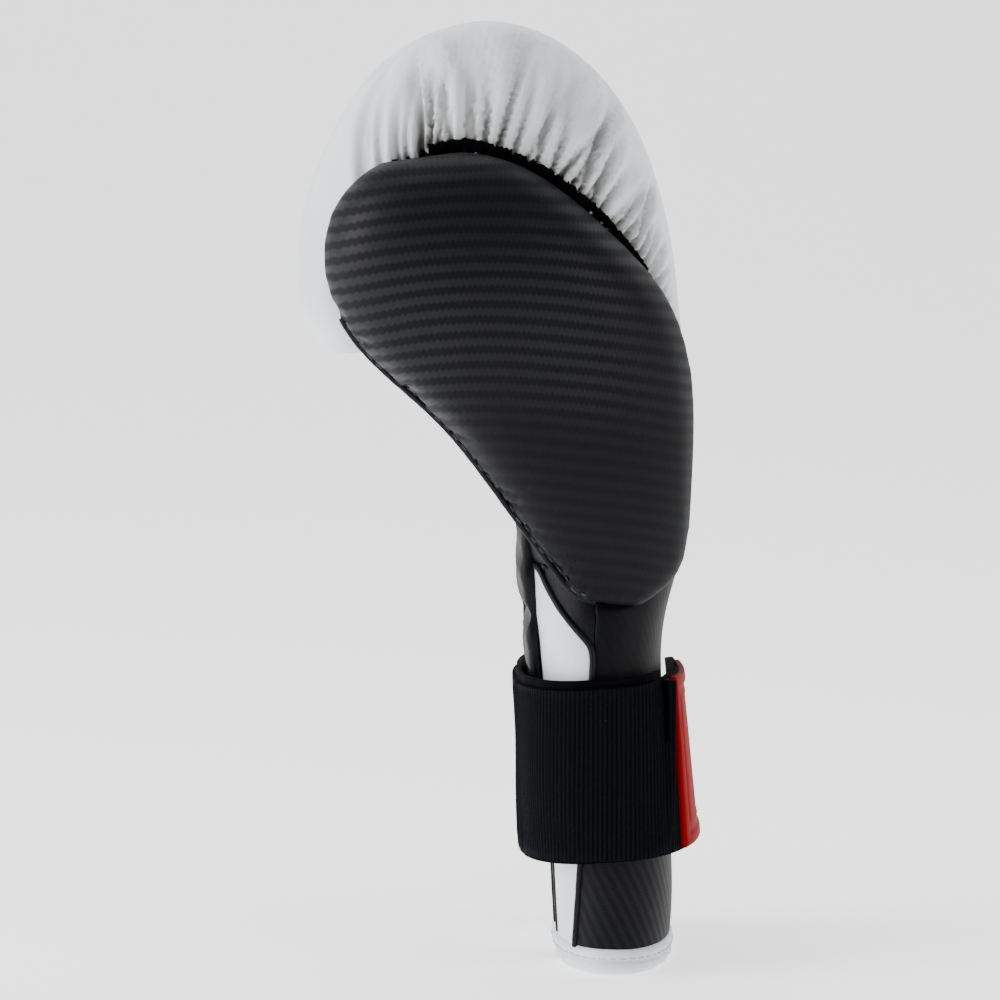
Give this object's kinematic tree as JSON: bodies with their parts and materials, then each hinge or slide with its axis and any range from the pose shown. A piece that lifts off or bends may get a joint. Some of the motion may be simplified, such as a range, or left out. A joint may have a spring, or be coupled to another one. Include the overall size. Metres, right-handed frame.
{
  "type": "boxing glove",
  "caption": "Padded leather training glove for the right hand, with a carbon-look thumb and cuff, an open palm slit and a wide elastic strap that folds back from a hook-and-loop tab.",
  "frame": {"origin": "middle of the hand opening, on the plane of the hem's lower face", "axes": "+Z from the hem up to the knuckles, +X towards the back of the hand, -X the palm and curl side, -Y the thumb side"},
  "size_m": [0.1323, 0.1368, 0.3065],
  "materials": {
    "white_leather": "smooth white coated leather",
    "black_leather": "matt black coated leather",
    "carbon_leather": "black coated leather with a carbon-look woven print, satin",
    "black_tape": "rough black binding tape",
    "foam": "closed layers of soft padding",
    "lining_fabric": "black woven lining",
    "black_elastic": "ribbed black elastic webbing",
    "hook_and_loop": "black hook and loop tape",
    "red_rubber": "moulded red rubber, satin"
  },
  "bodies": {
    "glove_body": {"fist_cover": "white_leather", "palm_cover": "black_leather", "grip_bar": "foam", "knuckle_foam": "foam", "finger_foam": "foam", "palm_foam": "foam", "hand_lining": "lining_fabric", "thumb_gusset": "black_leather", "gusset_tape": "black_tape", "cuff_back_panel": "carbon_leather", "cuff_flap_thumb_side": "white_leather", "cuff_flap_outer_side": "white_leather", "cuff_foam": "foam", "cuff_lining": "lining_fabric", "cuff_hem": "white_leather", "slit_piping_thumb_side": "black_leather", "slit_piping_outer_side": "black_leather", "slit_gusset": "lining_fabric", "slit_tongue": "black_leather", "loop_patch": "hook_and_loop", "strap_anchor": "black_elastic", "strap_anchor_fold": "black_elastic"},
    "thumb": {"thumb_cover": "carbon_leather", "thumb_foam": "foam", "thumb_lining": "lining_fabric"},
    "strap_band": {"strap_webbing": "black_elastic", "strap_backing": "black_leather"},
    "strap_tab": {"tab_webbing": "black_elastic", "tab_hook_patch": "hook_and_loop", "tab_plate": "red_rubber"}
  },
  "joints": [
    {"name": "thumb_flex", "type": "hinge", "parent": "glove_body", "child": "thumb", "pos_m": [0, -0.042, 0.116], "axis": [1, 0, 0], "range_deg": [0, 7], "stiffness_Nm_per_rad": 0.5, "springref_deg": -2.86},
    {"name": "strap_swing", "type": "hinge", "parent": "glove_body", "child": "strap_band", "pos_m": [-0.03078, -0.02018, 0.066], "axis": [0.0353, 0.0266, -0.999], "range_deg": [0, 120]},
    {"name": "tab_peel", "type": "hinge", "parent": "strap_band", "child": "strap_tab", "pos_m": [0.01717, -0.03523, 0.066], "axis": [0.0481, -0.08, -0.9956], "range_deg": [0, 90]}
  ]
}
